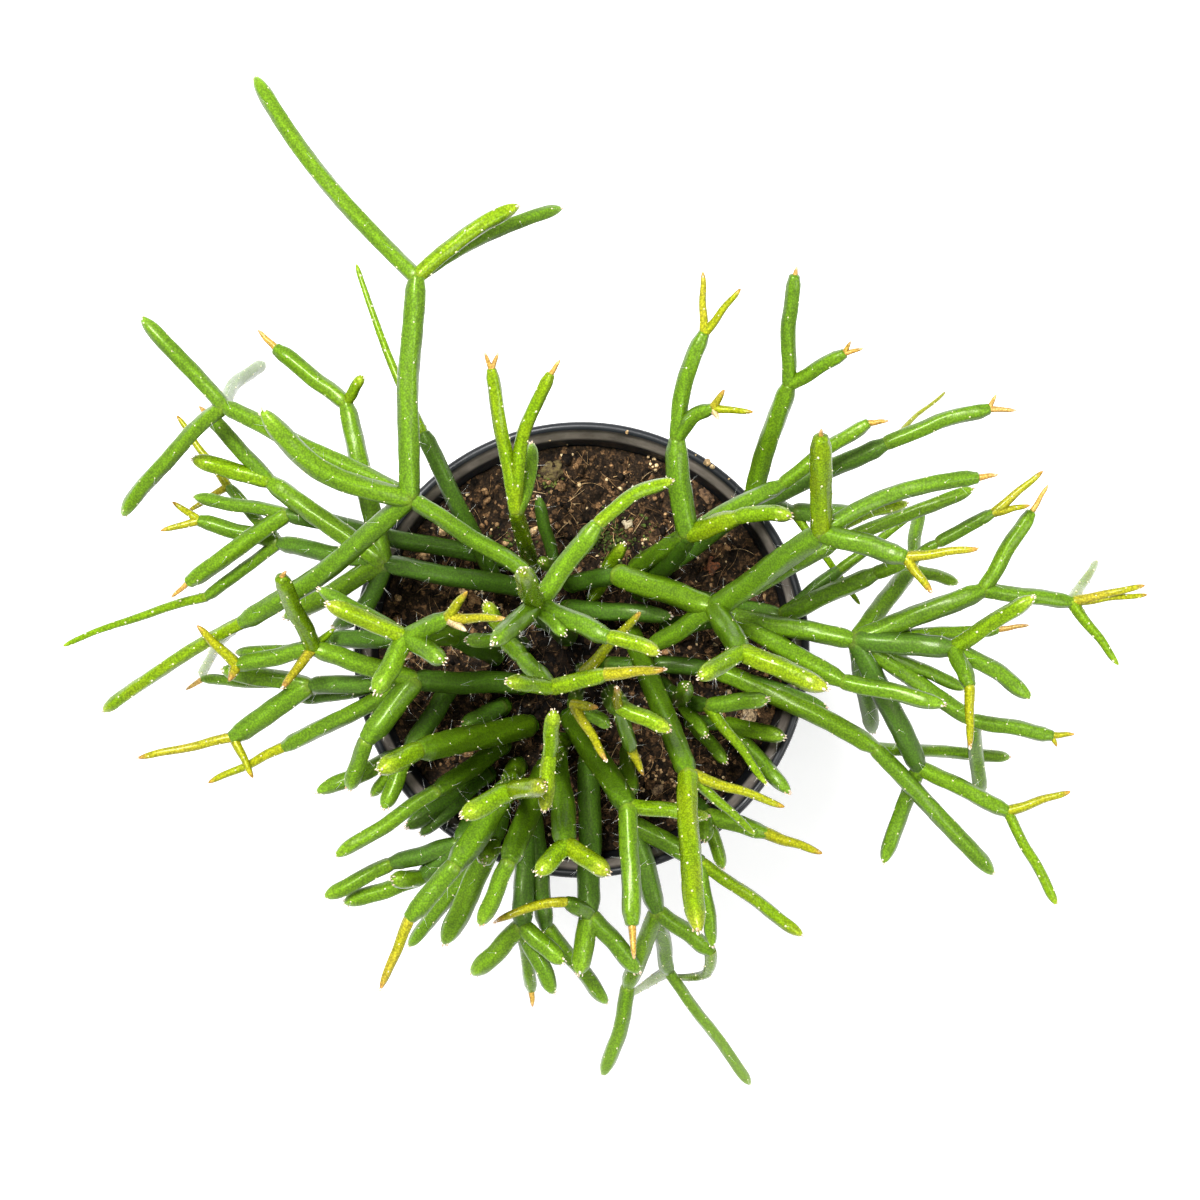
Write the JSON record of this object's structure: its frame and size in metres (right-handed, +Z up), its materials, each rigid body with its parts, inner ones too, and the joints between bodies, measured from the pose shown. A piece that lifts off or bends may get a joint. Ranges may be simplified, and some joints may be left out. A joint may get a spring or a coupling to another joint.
{
  "type": "potted mistletoe cactus",
  "caption": "Mistletoe cactus with slim forking green stems spilling over the rim of a black plastic nursery pot filled with bark mix.",
  "frame": {"origin": "centre of the flat base that the pot stands on, on the pot's axis", "axes": "+Z up the pot's axis; +Y to the side that the longest stem leans to; +X to the right seen from above"},
  "size_m": [0.2866, 0.2681, 0.1953],
  "materials": {
    "pot_plastic": "satin black moulded plastic",
    "potting_mix": "damp dark fibrous mix",
    "bark": "dry rough bark",
    "pumice": "matt porous grain",
    "green_stem": "satin waxy skin with pale woolly spots"
  },
  "bodies": {
    "root": {"pot": "pot_plastic", "soil": "potting_mix", "bark_chip_green": "bark", "bark_chip_tan": "bark", "bark_chip_orange": "bark", "pumice_grain_pale": "pumice", "bark_chip_large": "bark", "bark_chip_red": "bark", "bark_chip_brown": "bark", "bark_chip_small": "bark", "stem_north_west": "green_stem", "stem_north_thin": "green_stem", "stem_west": "green_stem", "stem_west_dark": "green_stem", "stem_centre": "green_stem", "stem_centre_low": "green_stem", "stem_north_mid": "green_stem", "stem_north_small": "green_stem", "stem_north_east": "green_stem", "stem_north_inner": "green_stem", "stem_east": "green_stem", "stem_north_far": "green_stem", "stem_centre_dark": "green_stem", "stem_east_low": "green_stem", "stem_east_far": "green_stem", "stem_south_east": "green_stem", "stem_east_small": "green_stem", "stem_south_near": "green_stem", "stem_south_mid": "green_stem", "stem_south_drop": "green_stem", "stem_south": "green_stem", "stem_south_twin": "green_stem", "stem_south_bank": "green_stem", "stem_south_high": "green_stem", "stem_south_west": "green_stem", "stem_south_pale": "green_stem", "stem_west_south": "green_stem", "stem_south_west_long": "green_stem", "stem_south_west_low": "green_stem", "stem_south_west_trail": "green_stem", "stem_west_trail": "green_stem", "stem_west_mid": "green_stem", "stem_west_high": "green_stem", "stem_west_bare": "green_stem", "stem_golden": "green_stem", "stem_south_inner": "green_stem", "stem_centre_south": "green_stem", "stem_south_nub": "green_stem", "stem_east_floor": "green_stem", "stem_south_east_low": "green_stem"}
  },
  "joints": []
}
